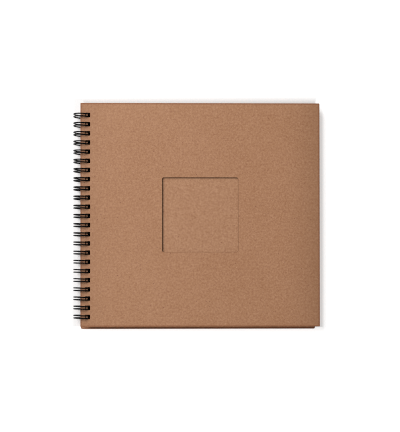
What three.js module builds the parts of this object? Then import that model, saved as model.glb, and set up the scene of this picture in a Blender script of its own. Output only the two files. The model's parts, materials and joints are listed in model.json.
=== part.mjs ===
// A square sketchbook bound with a twin-loop wire: two boards, a block of loose leaves
// and one continuous wire that passes through a row of punched holes.
// Millimetres. +X runs from the wire to the fore-edge, +Y to the head of the book,
// +Z out of the front cover. The origin is under the middle of the whole book.
import * as THREE from "three";

// The binding: a row of twin loops, three to the inch.
const LOOP_COUNT = 23;
const LOOP_PITCH = 25.4 / 3;
const RING_RADIUS = 7.65; // from the ring's axis to the middle of the wire
const WIRE_DIAMETER = 1.2;
const LEG_SPACING = 2.4; // between the two legs of one loop
const BASE_ANGLE = -81; // degrees; the run between loops lies under the back cover
const LEG_SWEEP = 334; // degrees round the ring from the base run's bend to the tip
const LEG_STEPS = 15; // straight facets of a leg
const TIP_STEPS = 4;
const BEND_STEPS = 2;
const WIRE_END = 3.0; // straight run left at each end of the wire
const WIRE_SKEW = 0.03; // how far a loop strays towards the foot for each millimetre along X

// The plates, each measured from the ring's axis: spineEdge and punchFrom along X,
// bottom along Z, and shift from the middle of the row of loops along Y.
const PUNCH = { width: 4.5, height: 4.2 };
const frontCover = {
  width: 221, height: 206.5, thickness: 1.5, cornerRadius: 0.6,
  spineEdge: -1.2, bottom: 3.5, shift: 1.05, punchFrom: 3.3,
};
const backCover = {
  width: 218, height: 206, thickness: 1.5, cornerRadius: 1.2,
  spineEdge: -1.6, bottom: -6.75, shift: -1.6, punchFrom: 1.9,
};
const WINDOW = { width: 70, height: 68.8, cornerRadius: 1.5 };

// The leaves fill the space between the boards. They lie in a square block, apart from the
// lowest ones, whose holes follow the inside of the ring as it curves back under the book.
const LEAF_COUNT = 20;
const LEAF_GAP = 0.0775; // air between neighbouring leaves
const LEAF = { width: 213.5, height: 203, cornerRadius: 0, shift: 0.5 };
const LEAF_MARGIN = 2.9; // from a leaf's spine edge to its holes
const LEAF_PUNCH_FROM = 5.35; // where the holes of the square block start
const LEAF_WIRE_CLEARANCE = 0.25;

const kraftBoard = new THREE.MeshStandardMaterial({ color: 0xad8465, roughness: 0.88, metalness: 0 });
const kraftCard = new THREE.MeshStandardMaterial({ color: 0xae8868, roughness: 0.9, metalness: 0 });
const blackEnamel = new THREE.MeshStandardMaterial({ color: 0x151517, roughness: 0.32, metalness: 0.4 });

const wireRadius = WIRE_DIAMETER / 2;
const sectionSide = Math.sqrt(Math.PI) * wireRadius; // a square of the round wire's area
const ringOutside = RING_RADIUS + sectionSide / 2;
const halfFacet = THREE.MathUtils.degToRad(LEG_SWEEP / LEG_STEPS / 2);
const ringInside = (RING_RADIUS - sectionSide / 2) * Math.cos(halfFacet);
const loopPlaces = Array.from({ length: LOOP_COUNT }, (_, i) => (i - (LOOP_COUNT - 1) / 2) * LOOP_PITCH);

// Traces a rectangle, with round corners where radius isn't 0, on a shape or on a hole.
function traceRectangle(path, left, bottom, width, height, radius) {
  const right = left + width;
  const top = bottom + height;
  if (radius === 0) {
    path.moveTo(left, bottom).lineTo(right, bottom).lineTo(right, top).lineTo(left, top);
    return path;
  }
  path.moveTo(left + radius, bottom);
  path.absarc(right - radius, bottom + radius, radius, -Math.PI / 2, 0);
  path.absarc(right - radius, top - radius, radius, 0, Math.PI / 2);
  path.absarc(left + radius, top - radius, radius, Math.PI / 2, Math.PI);
  path.absarc(left + radius, bottom + radius, radius, Math.PI, (3 * Math.PI) / 2);
  return path;
}

// A flat plate with one punched hole for each loop of the wire.
function punchedPlate(plate, cutouts = []) {
  const bottom = plate.shift - plate.height / 2;
  const outline = traceRectangle(
    new THREE.Shape(), plate.spineEdge, bottom, plate.width, plate.height, plate.cornerRadius,
  );
  for (const place of loopPlaces) {
    const hole = new THREE.Path();
    traceRectangle(hole, plate.punchFrom, place - PUNCH.height / 2, PUNCH.width, PUNCH.height, 0);
    outline.holes.push(hole);
  }
  outline.holes.push(...cutouts);
  return new THREE.ExtrudeGeometry(outline, {
    depth: plate.thickness,
    bevelEnabled: false,
    curveSegments: 3,
  });
}

function addPlate(group, name, plate, material, cutouts) {
  const mesh = new THREE.Mesh(punchedPlate(plate, cutouts), material);
  mesh.name = name;
  mesh.position.z = plate.bottom;
  group.add(mesh);
}

// The window is in the middle of the front cover.
function windowCutout() {
  const middle = frontCover.spineEdge + frontCover.width / 2;
  return traceRectangle(
    new THREE.Path(), middle - WINDOW.width / 2, frontCover.shift - WINDOW.height / 2,
    WINDOW.width, WINDOW.height, WINDOW.cornerRadius,
  );
}

// The wire's course is drawn flat, as if the ring were unrolled: around is the distance
// round the ring from the base run, along is the place on Y, and heading is the direction
// of travel, 0 straight round the ring and a quarter turn straight along Y.
function wireStations() {
  const bend = LEG_SPACING / 2;
  const legLength = THREE.MathUtils.degToRad(LEG_SWEEP) * RING_RADIUS;
  const stations = [];
  const stop = (around, along, heading) => stations.push({ around, along, heading });
  const arc = (centreAround, centreAlong, fromHeading, toHeading, steps) => {
    const side = Math.sign(toHeading - fromHeading);
    for (let i = 0; i <= steps; i++) {
      const heading = fromHeading + ((toHeading - fromHeading) * i) / steps;
      stop(
        centreAround + side * bend * Math.sin(heading),
        centreAlong - side * bend * Math.cos(heading),
        heading,
      );
    }
  };
  const quarter = Math.PI / 2;
  stop(0, loopPlaces[0] - LEG_SPACING - WIRE_END, quarter);
  for (const place of loopPlaces) {
    arc(bend, place - 2 * bend, quarter, 0, BEND_STEPS);
    for (let i = 1; i < LEG_STEPS; i++) {
      stop(bend + (legLength * i) / LEG_STEPS, place - bend, 0);
    }
    arc(bend + legLength, place, 0, Math.PI, TIP_STEPS);
    for (let i = LEG_STEPS - 1; i > 0; i--) {
      stop(bend + (legLength * i) / LEG_STEPS, place + bend, Math.PI);
    }
    arc(bend, place + 2 * bend, Math.PI, quarter, BEND_STEPS);
  }
  stop(0, loopPlaces.at(-1) + LEG_SPACING + WIRE_END, quarter);
  return stations;
}

// The same course rolled up on the ring, stopping at exactly the stations.
class RolledWire extends THREE.Curve {
  constructor(stations) {
    super();
    this.stations = stations;
  }

  stationAt(share) {
    return this.stations[Math.round(share * (this.stations.length - 1))];
  }

  angleAt(station) {
    return THREE.MathUtils.degToRad(BASE_ANGLE) - station.around / RING_RADIUS;
  }

  getPointAt(share, target = new THREE.Vector3()) {
    const station = this.stationAt(share);
    const angle = this.angleAt(station);
    const x = RING_RADIUS * Math.cos(angle);
    return target.set(x, station.along - WIRE_SKEW * x, RING_RADIUS * Math.sin(angle));
  }

  getTangentAt(share, target = new THREE.Vector3()) {
    const station = this.stationAt(share);
    const angle = this.angleAt(station);
    const round = Math.cos(station.heading);
    return target.set(round * Math.sin(angle), Math.sin(station.heading), -round * Math.cos(angle));
  }
}

function twinLoopWire() {
  const stations = wireStations();
  const half = sectionSide / 2;
  const section = traceRectangle(new THREE.Shape(), -half, -half, sectionSide, sectionSide, 0);
  const geometry = new THREE.ExtrudeGeometry(section, {
    steps: stations.length - 1,
    extrudePath: new RolledWire(stations),
    bevelEnabled: false,
  });
  const mesh = new THREE.Mesh(geometry, blackEnamel);
  mesh.name = "twin_loop_wire";
  return mesh;
}

// Leaf number i, counted down from the front cover.
function leafPlate(i) {
  const pitch = (frontCover.bottom - backCover.bottom - backCover.thickness) / LEAF_COUNT;
  const bottom = frontCover.bottom - i * pitch + LEAF_GAP / 2;
  const wireInside = Math.sqrt(ringInside ** 2 - bottom ** 2);
  const punchFrom = Math.min(LEAF_PUNCH_FROM, wireInside - LEAF_WIRE_CLEARANCE);
  return { ...LEAF, bottom, punchFrom, thickness: pitch - LEAF_GAP, spineEdge: punchFrom - LEAF_MARGIN };
}

// book is built about the ring's axis, and then set down with the origin under its middle.
const book = new THREE.Group();
book.add(twinLoopWire());
addPlate(book, "back_cover", backCover, kraftBoard);
for (let i = LEAF_COUNT; i >= 1; i--) {
  addPlate(book, "leaf_" + String(i).padStart(2, "0"), leafPlate(i), kraftCard);
}
addPlate(book, "front_cover", frontCover, kraftBoard, [windowCutout()]);

const foreEdge = frontCover.spineEdge + frontCover.width;
const head = frontCover.shift + frontCover.height / 2;
const foot = backCover.shift - backCover.height / 2;
book.position.set((ringOutside - foreEdge) / 2, -(head + foot) / 2, ringOutside);

const sketchbook = new THREE.Group();
sketchbook.add(book);

export default sketchbook;
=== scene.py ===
"""The look of a wire-bound sketchbook: kraft board covers with a square window, kraft leaves and a
black twin-loop wire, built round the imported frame. Metres throughout, in the frame's own axes."""
import json
import math
import random

import bmesh
import bpy
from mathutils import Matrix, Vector


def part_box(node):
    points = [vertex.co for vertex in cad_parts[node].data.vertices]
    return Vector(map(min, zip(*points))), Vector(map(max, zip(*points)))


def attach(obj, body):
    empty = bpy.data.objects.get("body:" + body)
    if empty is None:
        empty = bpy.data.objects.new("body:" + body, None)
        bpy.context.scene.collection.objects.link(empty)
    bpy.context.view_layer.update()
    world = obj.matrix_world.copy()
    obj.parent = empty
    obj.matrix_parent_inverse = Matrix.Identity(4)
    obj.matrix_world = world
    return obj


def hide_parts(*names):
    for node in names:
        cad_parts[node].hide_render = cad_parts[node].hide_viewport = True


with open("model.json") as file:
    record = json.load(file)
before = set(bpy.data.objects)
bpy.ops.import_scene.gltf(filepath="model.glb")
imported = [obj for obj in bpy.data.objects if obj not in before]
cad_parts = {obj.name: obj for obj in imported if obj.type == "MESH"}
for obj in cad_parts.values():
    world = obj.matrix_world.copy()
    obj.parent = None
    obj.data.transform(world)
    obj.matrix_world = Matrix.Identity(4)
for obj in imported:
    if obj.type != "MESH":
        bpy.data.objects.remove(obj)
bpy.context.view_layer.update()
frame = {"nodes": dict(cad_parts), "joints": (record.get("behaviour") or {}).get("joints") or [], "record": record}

MM = 0.001

# The binding, as the frame has it.
LOOP_COUNT = 23
LOOP_PITCH = 25.4 / 3 * MM
RING_RADIUS = 7.65 * MM  # from the ring's axis to the middle of the wire
WIRE_RADIUS = 0.6 * MM
LEG_SPACING = 2.4 * MM  # between the two legs of one loop
BASE_ANGLE = math.radians(-81)  # the run between loops lies under the back cover
LEG_SWEEP = math.radians(334)  # round the ring from the base run's bend to the tip
WIRE_SKEW = 0.03  # how far a loop strays towards the foot for each metre along X
WIRE_END = 3.0 * MM  # straight run left at each end of the wire

# The plates, as the frame has them. A margin runs from a plate's spine edge to its holes.
PUNCH_WIDTH = 4.5 * MM
PUNCH_HEIGHT = 4.2 * MM
COVER_MARGIN = {"front_cover": 4.5 * MM, "back_cover": 3.5 * MM}
COVER_CORNER = {"front_cover": 0.6 * MM, "back_cover": 1.2 * MM}
LEAF_MARGIN = 2.9 * MM
WINDOW_WIDTH = 70 * MM
WINDOW_HEIGHT = 68.8 * MM
WINDOW_CORNER = 1.5 * MM

# Detail that is finer than the frame's.
LEG_STEPS, TIP_STEPS, BEND_STEPS, WIRE_SIDES = 54, 12, 6, 14
WIRE_BURR = 0.15 * MM  # how far the rounding of a cut end stands out
BURR_SHARE = 0.75  # what the rounding leaves of the wire's radius
BOARD_HOLE_CORNER = 0.55 * MM
BOARD_ARRIS = 0.18 * MM
LEAF_CORNER = 0.35 * MM
LEAF_HOLE_CORNER = 0.45 * MM
LEAF_ARRIS = 0.06 * MM
LEAF_END_TRIM = 0.35 * MM  # the most that a leaf is short of its size at its foot and at its head
LEAF_FORE_EDGE_TRIM = 0.4 * MM

# Material slots of a plate's edges. Its two faces have slot 0.
EDGE, WINDOW_EDGE = 1, 2

ring_axis = Vector(frame["joints"][0]["pos_m"])
loop_places = [ring_axis.y + (i - (LOOP_COUNT - 1) / 2) * LOOP_PITCH for i in range(LOOP_COUNT)]
bodies = frame["record"]["behaviour"]["bodies"]
body_of_node = {node: body for body, nodes in bodies.items() for node in nodes}
leaf_count = sum(node.startswith("leaf_") for node in frame["nodes"])


def added(name, data):
    """A new object of that name in the scene."""
    thing = bpy.data.objects.new(name, data)
    bpy.context.scene.collection.objects.link(thing)
    return thing


def made(name, mesh):
    """A new object of that name in the scene, with the faces of a bmesh."""
    data = bpy.data.meshes.new(name)
    mesh.to_mesh(data)
    mesh.free()
    return added(name, data)


# ---------------------------------------------------------------- materials


class Nodes:
    """Short calls that add and link shader nodes. Scales of noises are in cells per metre."""

    def __init__(self, name):
        self.material = bpy.data.materials.new(name)
        self.material.use_nodes = True
        self.tree = self.material.node_tree
        self.shader = self.tree.nodes["Principled BSDF"]

    def add(self, kind, inputs=None, **settings):
        node = self.tree.nodes.new(kind)
        for key, value in settings.items():
            setattr(node, key, value)
        for key, value in (inputs or {}).items():
            if isinstance(value, bpy.types.NodeSocket):
                self.tree.links.new(value, node.inputs[key])
            else:
                node.inputs[key].default_value = value
        return node

    def place(self, turn=0.0, stretch=(1, 1, 1), shift=(0, 0, 0)):
        """The surface's own coordinates, turned about Z and stretched."""
        source = self.add("ShaderNodeTexCoord").outputs["Object"]
        laid = {"Vector": source, "Rotation": (0, 0, turn), "Location": shift}
        turned = self.add("ShaderNodeMapping", laid).outputs[0]
        return self.add("ShaderNodeMapping", {"Vector": turned, "Scale": stretch}).outputs[0]

    def noise(self, vector, scale, detail=3.0, roughness=0.55):
        inputs = {"Vector": vector, "Scale": scale, "Detail": detail, "Roughness": roughness}
        return self.add("ShaderNodeTexNoise", inputs).outputs["Fac"]

    def span(self, value, low, high, to_low=0.0, to_high=1.0):
        inputs = {"Value": value, "From Min": low, "From Max": high, "To Min": to_low, "To Max": to_high}
        return self.add("ShaderNodeMapRange", inputs).outputs[0]

    def maths(self, operation, a, b):
        return self.add("ShaderNodeMath", {0: a, 1: b}, operation=operation).outputs[0]

    def blend(self, share, a, b):
        """Colour a where share is 0, and b where it is 1. A Mix node's colours are its inputs 6 and 7."""
        return self.add("ShaderNodeMix", {0: share, 6: a, 7: b}, data_type="RGBA").outputs[2]

    def tint(self, under, share, colour, strength):
        """Lays a colour over another, as far as the share says."""
        return self.blend(self.maths("MULTIPLY", share, strength), under, colour)

    def shade(self, **inputs):
        for key, value in inputs.items():
            socket = self.shader.inputs[key.replace("_", " ")]
            if isinstance(value, bpy.types.NodeSocket):
                self.tree.links.new(value, socket)
            else:
                socket.default_value = value

    def nearest(self, ramps):
        """The largest of several ramps, each (value, where it starts, where it ends, what it reaches)."""
        largest = 0.0
        for value, start, end, reach in ramps:
            largest = self.maths("MAXIMUM", largest, self.span(value, start, end, 0, reach))
        return largest

    def bump(self, height, distance):
        node = self.add("ShaderNodeBump", {"Height": height, "Distance": distance})
        self.shade(Normal=node.outputs[0])


def tone(colour, factor):
    return tuple(channel * factor for channel in colour[:3]) + (1.0,)


def lean(colour, amount):
    """Kraft that leans towards bleached fibre, or below 0 towards raw fibre, which is darker and redder."""
    return tuple(max(0.01, c + amount * share) for c, share in zip(colour, (1.0, 0.7, 0.52))) + (1.0,)


KRAFT = (0.435, 0.2135, 0.1075)
KRAFT_LEAF = (0.439, 0.2215, 0.1145)
# painted shade: the darker kraft that a cover fades to towards its fore-edge and its spine
PAINTED_SHADE_KRAFT = lean(tone(KRAFT, 0.45), -0.01)
RUBBED_RIM = (0.19, 0.035, 0.004, 1)
ENAMEL = (0.002, 0.002, 0.0022, 1)
RUBBED_ENAMEL = (0.005, 0.005, 0.0055, 1)


def fibres(nodes, turns, shift, width_scale, length_scale, low, high):
    """Thin streaks lying in several directions, from 0 between them to 1 on them."""
    layers = []
    for turn in turns:
        vector = nodes.place(turn, (length_scale, width_scale, width_scale), shift)
        layers.append(nodes.span(nodes.noise(vector, 1.0, 1.5, 0.4), low, high))
    total = layers[0]
    for layer in layers[1:]:
        total = nodes.maths("MAXIMUM", total, layer)
    return total


def specks(nodes, shift, scale, size, share):
    """Small round specks in a share of the cells."""
    vector = nodes.place(shift=shift)
    cells = nodes.add("ShaderNodeTexVoronoi", {"Vector": vector, "Scale": scale})
    near = nodes.span(cells.outputs["Distance"], size, size * 0.5)
    chosen = nodes.add("ShaderNodeSeparateColor", {0: cells.outputs["Color"]}).outputs[0]
    return nodes.maths("MULTIPLY", near, nodes.span(chosen, share, share - 0.02))


def kraft(name, colour, seed, tooth=1.0, shading_and_rim=()):
    """Uncoated kraft: mottled brown with pale and dark fibres, a few specks and a soft tooth.
    The list after tooth gives painted shade and a redder rim line, each a colour with its ramps:
    (0 along X or 1 along Y, start, full, strength)."""
    nodes = Nodes(name)
    shift = (0.37 * seed, 0.21 * seed, 0.0)
    other_shift = (0.19 * seed, 0.53 * seed, 0.1)
    plain = nodes.place(shift=shift)
    cloud = nodes.noise(plain, 26, 2)
    patch = nodes.noise(plain, 190, 2, 0.5)
    mottle = nodes.noise(plain, 530, 2, 0.5)
    grain = nodes.noise(plain, 2600, 3, 0.6)
    pale = fibres(nodes, (0.2, 1.05, 1.9, 2.7), shift, 3400, 340, 0.61, 0.74)
    dark = fibres(nodes, (0.6, 1.5, 2.3), other_shift, 3100, 320, 0.63, 0.76)
    surface = nodes.blend(nodes.span(cloud, 0.3, 0.7), lean(colour, -0.012), lean(colour, 0.012))
    surface = nodes.tint(surface, nodes.span(patch, 0.3, 0.7), lean(colour, -0.16), 0.16)
    surface = nodes.tint(surface, nodes.span(mottle, 0.5, 0.68), lean(colour, 0.3), 0.17)
    surface = nodes.tint(surface, nodes.span(mottle, 0.5, 0.32), lean(colour, -0.3), 0.17)
    surface = nodes.tint(surface, nodes.span(grain, 0.45, 0.8), lean(colour, 0.25), 0.34)
    surface = nodes.tint(surface, pale, lean(colour, 0.34), 0.3)
    surface = nodes.tint(surface, dark, lean(colour, -0.3), 0.32)
    surface = nodes.tint(surface, specks(nodes, shift, 330, 0.14, 0.16), lean(colour, -0.33), 0.7)
    surface = nodes.tint(surface, specks(nodes, other_shift, 300, 0.12, 0.12), lean(colour, 0.3), 0.6)
    # painted shade towards the fore-edge and the spine, and the redder rim line, laid over the surface
    for brown, ramps in shading_and_rim:
        along = nodes.add("ShaderNodeSeparateXYZ", {0: nodes.place()}).outputs
        darker_share = nodes.nearest((along[i], start, full, strength) for i, start, full, strength in ramps)
        surface = nodes.tint(surface, nodes.maths("POWER", darker_share, 2.0), brown, 1.0)
    roughness = nodes.span(mottle, 0.3, 0.7, 0.47, 0.57)
    nodes.shade(Base_Color=surface, Roughness=roughness, Specular_IOR_Level=0.3)
    relief = nodes.maths("ADD", nodes.maths("MULTIPLY", grain, 0.6), nodes.maths("MULTIPLY", pale, 0.5))
    relief = nodes.maths("ADD", relief, nodes.maths("MULTIPLY", mottle, 0.8))
    nodes.bump(relief, 0.05 * MM * tooth)
    return nodes.material


def painted_shade_and_rim(node):
    """Painted shade on a cover, darker over a broad band at the fore-edge and the spine to shape the light,
    and a redder line all round its rim, where the brown starts at inner from the edge and is full at
    outer from the edge."""
    low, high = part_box(node)
    inner, outer, rubbed = 1.9 * MM, 0.9 * MM, 0.68
    # painted shade: darker over 45 mm to the fore-edge and over 40 mm to the spine
    shade_ramps = ((0, high.x - 45 * MM, high.x, 0.58), (0, low.x + 40 * MM, low.x, 0.45))
    rim = (
        (0, high.x - inner, high.x - outer, rubbed), (0, low.x + inner, low.x + outer, rubbed),
        (1, high.y - inner, high.y - outer, rubbed), (1, low.y + inner, low.y + outer, rubbed),
    )
    return ((PAINTED_SHADE_KRAFT, shade_ramps), (RUBBED_RIM, rim))


def cut_edge(name, colour, seed, layer_scale):
    """The cut side of board or card: pressed layers that run along the edge, a little darker."""
    nodes = Nodes(name)
    shift = (0.13 * seed, 0.29 * seed, 0.0)
    layers = nodes.noise(nodes.place(stretch=(60, 60, layer_scale), shift=shift), 1.0, 3)
    crumbs = nodes.noise(nodes.place(shift=shift), 3000, 3, 0.6)
    surface = nodes.blend(nodes.span(layers, 0.3, 0.7), tone(colour, 0.78), tone(colour, 1.08))
    surface = nodes.blend(nodes.span(crumbs, 0.4, 0.75, 0, 0.4), surface, tone(colour, 1.3))
    nodes.shade(Base_Color=surface, Roughness=0.94, Specular_IOR_Level=0.2)
    nodes.bump(nodes.maths("ADD", layers, crumbs), 0.08 * MM)
    return nodes.material


def enamel(name):
    """Black enamel with a faint orange-peel and rubbed patches."""
    nodes = Nodes(name)
    plain = nodes.place()
    rub = nodes.noise(plain, 160, 3)
    peel = nodes.noise(plain, 2200, 2)
    surface = nodes.blend(nodes.span(rub, 0.4, 0.7), ENAMEL, RUBBED_ENAMEL)
    roughness = nodes.span(rub, 0.35, 0.7, 0.24, 0.36)
    nodes.shade(Base_Color=surface, Roughness=roughness, Specular_IOR_Level=0.1)
    nodes.bump(peel, 0.01 * MM)
    return nodes.material


# ---------------------------------------------------------------- plates


def rounded_rectangle(left, bottom, right, top, radius, steps):
    """Points of a rectangle with round corners, anticlockwise from the bottom left corner's end."""
    points = []
    corners = ((right, bottom, -90), (right, top, 0), (left, top, 90), (left, bottom, 180))
    for x, y, start in corners:
        centre_x = x - radius if x == right else x + radius
        centre_y = y - radius if y == top else y + radius
        for i in range(steps + 1):
            angle = math.radians(start + 90 * i / steps)
            points.append((centre_x + radius * math.cos(angle), centre_y + radius * math.sin(angle)))
    return points


def edge_profile(bottom, top, radius, steps):
    """(inset, height) pairs up a plate's edge, with both arrises rounded."""
    quarter = [math.pi / 2 * i / steps for i in range(steps + 1)]
    lower = [(radius * (1 - math.sin(a)), bottom + radius * (1 - math.cos(a))) for a in quarter]
    upper = [(radius * (1 - math.cos(a)), top - radius * (1 - math.sin(a))) for a in quarter]
    return lower + upper


def plate(name, loops, bottom, top, arris, arris_steps, corner_steps):
    """A flat plate with rounded arrises. loops are its outline and then its holes, each with the
    material slot of its edge: ((left, bottom, right, top, corner radius), slot)."""
    mesh = bmesh.new()
    profile = edge_profile(bottom, top, arris, arris_steps)
    rims = {0: [], len(profile) - 1: []}
    for number, ((x0, y0, x1, y1, radius), slot) in enumerate(loops):
        outward = 1 if number == 0 else -1
        rings = []
        for inset, height in profile:
            d = inset * outward
            points = rounded_rectangle(x0 + d, y0 + d, x1 - d, y1 - d, radius - d, corner_steps)
            rings.append([mesh.verts.new((x, y, height)) for x, y in points])
        for lower, upper in zip(rings, rings[1:]):
            for i in range(len(lower)):
                j = (i + 1) % len(lower)
                face = mesh.faces.new((lower[i], lower[j], upper[j], upper[i]))
                face.material_index = slot
                face.smooth = True
        for level, rim in rims.items():
            ring = rings[level]
            rim.extend(mesh.edges.get((ring[i], ring[(i + 1) % len(ring)])) for i in range(len(ring)))
    for rim in rims.values():
        bmesh.ops.triangle_fill(mesh, use_beauty=True, use_dissolve=False, edges=rim)
    bmesh.ops.recalc_face_normals(mesh, faces=mesh.faces)
    return made(name, mesh)


def punched_holes(left, radius):
    """One hole for each twin loop of the wire, as plate takes them."""
    half = PUNCH_HEIGHT / 2
    return [((left, place - half, left + PUNCH_WIDTH, place + half, radius), EDGE) for place in loop_places]


def dress(piece, node, slot, *materials):
    """Hands a piece its materials and puts it in the place of its CAD node."""
    for material in materials:
        piece.data.materials.append(material)
    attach(piece, body_of_node[node])
    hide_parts(node)


def window(low, high):
    """The window in the middle of a board, as plate takes it."""
    middle = (low + high) / 2
    half = Vector((WINDOW_WIDTH, WINDOW_HEIGHT)) / 2
    sides = (middle.x - half.x, middle.y - half.y, middle.x + half.x, middle.y + half.y)
    return ((*sides, WINDOW_CORNER), WINDOW_EDGE)


def cover(node, *materials):
    low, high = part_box(node)
    outline = (low.x, low.y, high.x, high.y, COVER_CORNER[node])
    loops = [(outline, EDGE)] + punched_holes(low.x + COVER_MARGIN[node], BOARD_HOLE_CORNER)
    if node == "front_cover":
        loops.append(window(low, high))
    piece = plate(node + "_board", loops, low.z, high.z, BOARD_ARRIS, arris_steps=4, corner_steps=8)
    dress(piece, node, "kraft_board", *materials)


def leaf(number, faces, edges):
    """One leaf. Its three free edges are trimmed a hair unevenly, as in a block that has been used."""
    node = f"leaf_{number:02d}"
    low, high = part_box(node)
    trim = random.Random(number)
    foot = low.y + trim.uniform(0, LEAF_END_TRIM)
    fore_edge = high.x - trim.uniform(0, LEAF_FORE_EDGE_TRIM)
    head = high.y - trim.uniform(0, LEAF_END_TRIM)
    outline = (low.x, foot, fore_edge, head, LEAF_CORNER)
    loops = [(outline, EDGE)] + punched_holes(low.x + LEAF_MARGIN, LEAF_HOLE_CORNER)
    piece = plate(node + "_card", loops, low.z, high.z, LEAF_ARRIS, arris_steps=2, corner_steps=4)
    dress(piece, node, "kraft_card", faces, edges[number % len(edges)])


# ---------------------------------------------------------------- wire


def wire_stations():
    """The wire's course on the unrolled ring: (distance round, place on Y, heading) at each ring of its
    tube. Heading 0 runs straight round the ring, and a quarter turn straight along Y."""
    bend = LEG_SPACING / 2
    leg = LEG_SWEEP * RING_RADIUS
    quarter = math.pi / 2
    stations = [(0.0, loop_places[0] - LEG_SPACING - WIRE_END, quarter)]

    def arc(round_at, along_at, start, end, steps):
        side = math.copysign(1, end - start)
        for i in range(steps + 1):
            heading = start + (end - start) * i / steps
            around = round_at + side * bend * math.sin(heading)
            along = along_at - side * bend * math.cos(heading)
            stations.append((around, along, heading))

    for place in loop_places:
        arc(bend, place - 2 * bend, quarter, 0, BEND_STEPS)
        for i in range(1, LEG_STEPS):
            stations.append((bend + leg * i / LEG_STEPS, place - bend, 0.0))
        arc(bend + leg, place, 0, math.pi, TIP_STEPS)
        for i in range(LEG_STEPS - 1, 0, -1):
            stations.append((bend + leg * i / LEG_STEPS, place + bend, math.pi))
        arc(bend, place + 2 * bend, math.pi, quarter, BEND_STEPS)
    stations.append((0.0, loop_places[-1] + LEG_SPACING + WIRE_END, quarter))
    return stations


def rolled(station):
    """A station's point, direction of travel and outward direction on the ring."""
    around, along, heading = station
    angle = BASE_ANGLE - around / RING_RADIUS
    outward = Vector((math.cos(angle), 0, math.sin(angle)))
    point = Vector((ring_axis.x, along, ring_axis.z)) + RING_RADIUS * outward
    point.y -= WIRE_SKEW * (point.x - ring_axis.x)
    forward = math.cos(heading)
    travel = Vector((forward * math.sin(angle), math.sin(heading), -forward * math.cos(angle)))
    return point, travel, outward


def twin_loop_wire(material):
    """One continuous round wire, with slightly rounded cut ends."""
    mesh = bmesh.new()
    stations = [rolled(station) for station in wire_stations()]
    rings = [(*station, 1.0) for station in stations]
    point, travel, outward = stations[0]
    rings.insert(0, (point - WIRE_BURR * travel, travel, outward, BURR_SHARE))
    point, travel, outward = stations[-1]
    rings.append((point + WIRE_BURR * travel, travel, outward, BURR_SHARE))
    tube = []
    for point, travel, outward, share in rings:
        across = travel.cross(outward)
        tube.append([
            mesh.verts.new(point + WIRE_RADIUS * share * (math.cos(a) * outward + math.sin(a) * across))
            for a in (2 * math.pi * i / WIRE_SIDES for i in range(WIRE_SIDES))
        ])
    for ring, following in zip(tube, tube[1:]):
        for i in range(WIRE_SIDES):
            j = (i + 1) % WIRE_SIDES
            mesh.faces.new((ring[i], ring[j], following[j], following[i])).smooth = True
    mesh.faces.new(tube[0])
    mesh.faces.new(tube[-1])
    bmesh.ops.recalc_face_normals(mesh, faces=mesh.faces)
    dress(made("twin_loop_binding", mesh), "twin_loop_wire", "enamelled_wire", material)


# ---------------------------------------------------------------- studio


def camera():
    """Nearly overhead, about a metre up."""
    data = bpy.data.cameras.new("camera")
    data.lens = 90.2
    data.sensor_width = 36
    data.shift_y = 0.12
    data.clip_start = 0.05
    view = added("camera", data)
    view.location = (-0.01406, -0.05757, 1.01172)
    view.rotation_euler = [math.radians(a) for a in (0.5623, -0.9908, -0.0428)]
    bpy.context.scene.camera = view


def pale_floor():
    """Matt white with a glow, which fades out at the book so that its contact shadow shows."""
    nodes = Nodes("pale_floor")
    low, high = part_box("front_cover")
    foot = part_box("back_cover")[0].y
    x, y, _ = nodes.add("ShaderNodeSeparateXYZ", {0: nodes.place()}).outputs
    far, far_glow = 60 * MM, 0.95
    beyond_spine = (
        (x, low.x + 3 * MM, low.x + 1 * MM, 0.2),
        (x, low.x - 1 * MM, low.x - 12 * MM, 0.42),
        (x, low.x - 12 * MM, low.x - far, far_glow),
    )
    beyond_head = (
        (y, high.y + 2.6 * MM, high.y + 9 * MM, 0.42),
        (y, high.y + 9 * MM, high.y + far, far_glow),
    )
    beyond_fore_edge = (
        (x, high.x - 3 * MM, high.x - 1 * MM, 0.5),
        (x, high.x - 2 * MM, high.x + 6 * MM, 0.75),
        (x, high.x + 6 * MM, high.x + far, far_glow),
    )
    beyond_foot = (
        (y, foot + 3 * MM, foot + 1 * MM, 0.7),
        (y, foot, foot - 5 * MM, 0.85),
        (y, foot - 5 * MM, foot - far, far_glow),
    )
    ramps = beyond_spine + beyond_head + beyond_fore_edge + beyond_foot
    nodes.shade(Base_Color=(0.78, 0.78, 0.78, 1), Roughness=0.9)
    nodes.shade(Emission_Color=(1, 1, 1, 1), Emission_Strength=nodes.nearest(ramps))
    return nodes.material


def floor():
    """A square of 8 metres under the book."""
    mesh = bmesh.new()
    bmesh.ops.create_grid(mesh, x_segments=1, y_segments=1, size=4)
    piece = made("floor", mesh)
    piece.data.materials.append(pale_floor())


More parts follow.
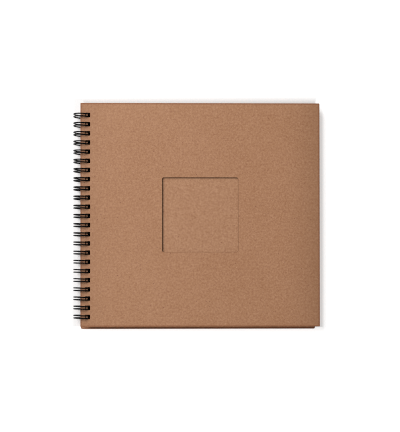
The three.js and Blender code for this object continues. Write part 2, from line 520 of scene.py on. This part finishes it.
def area_light(name, place, size, power):
    """A square light that faces the book."""
    data = bpy.data.lights.new(name, "AREA")
    data.size = size
    data.energy = power
    lamp = added(name, data)
    lamp.location = place
    lamp.rotation_euler = (-Vector(place)).to_track_quat("-Z", "Y").to_euler()


def lights():
    area_light("key", place=(-1.2, 0.8, 1.35), size=1.2, power=37)
    area_light("overhead", place=(-0.45, 0.05, 1.15), size=0.4, power=2.4)


def surroundings():
    """A dim white fill, and a bright white backdrop that only the camera sees, past the floor's end."""
    world = bpy.data.worlds.new("studio")
    world.use_nodes = True
    tree = world.node_tree
    background = tree.nodes["Background"]
    background.inputs["Color"].default_value = (1, 1, 1, 1)
    background.inputs["Strength"].default_value = 0.17
    backdrop = tree.nodes.new("ShaderNodeBackground")
    backdrop.inputs["Color"].default_value = (1, 1, 1, 1)
    seen = tree.nodes.new("ShaderNodeMixShader")
    tree.links.new(tree.nodes.new("ShaderNodeLightPath").outputs["Is Camera Ray"], seen.inputs[0])
    tree.links.new(background.outputs[0], seen.inputs[1])
    tree.links.new(backdrop.outputs[0], seen.inputs[2])
    tree.links.new(seen.outputs[0], tree.nodes["World Output"].inputs[0])
    bpy.context.scene.world = world


def film():
    """Plain tones, and pixels a little sharper than usual."""
    bpy.context.scene.view_settings.view_transform = "Standard"
    bpy.context.scene.cycles.filter_width = 1.0


# ---------------------------------------------------------------- the sketchbook and its studio


# both covers carry painted shade towards the fore-edge and the spine
front_face = kraft("kraft_front_face", KRAFT, 1, shading_and_rim=painted_shade_and_rim("front_cover"))
back_face = kraft("kraft_back_face", KRAFT, 1, shading_and_rim=painted_shade_and_rim("back_cover"))
board_edge = cut_edge("kraft_board_edge", tone(KRAFT, 0.85), 1, 2600)
# painted shadow: the window's cut edge in nearly black kraft, darkening the shadow line along the window
window_edge_painted_shade = cut_edge("kraft_window_edge", tone(KRAFT, 0.22), 2, 2600)
card_face = kraft("kraft_card_face", KRAFT_LEAF, 5, 0.8)
card_edges = [
    cut_edge(f"kraft_card_edge_{i}", tone(KRAFT_LEAF, darkness), i, 5000)
    for i, darkness in enumerate((0.9, 1.0, 0.82))
]

cover("front_cover", front_face, board_edge, window_edge_painted_shade)
cover("back_cover", back_face, board_edge)
for number in range(1, leaf_count + 1):
    leaf(number, card_face, card_edges)
twin_loop_wire(enamel("black_enamel"))
camera()
floor()
lights()
surroundings()
film()
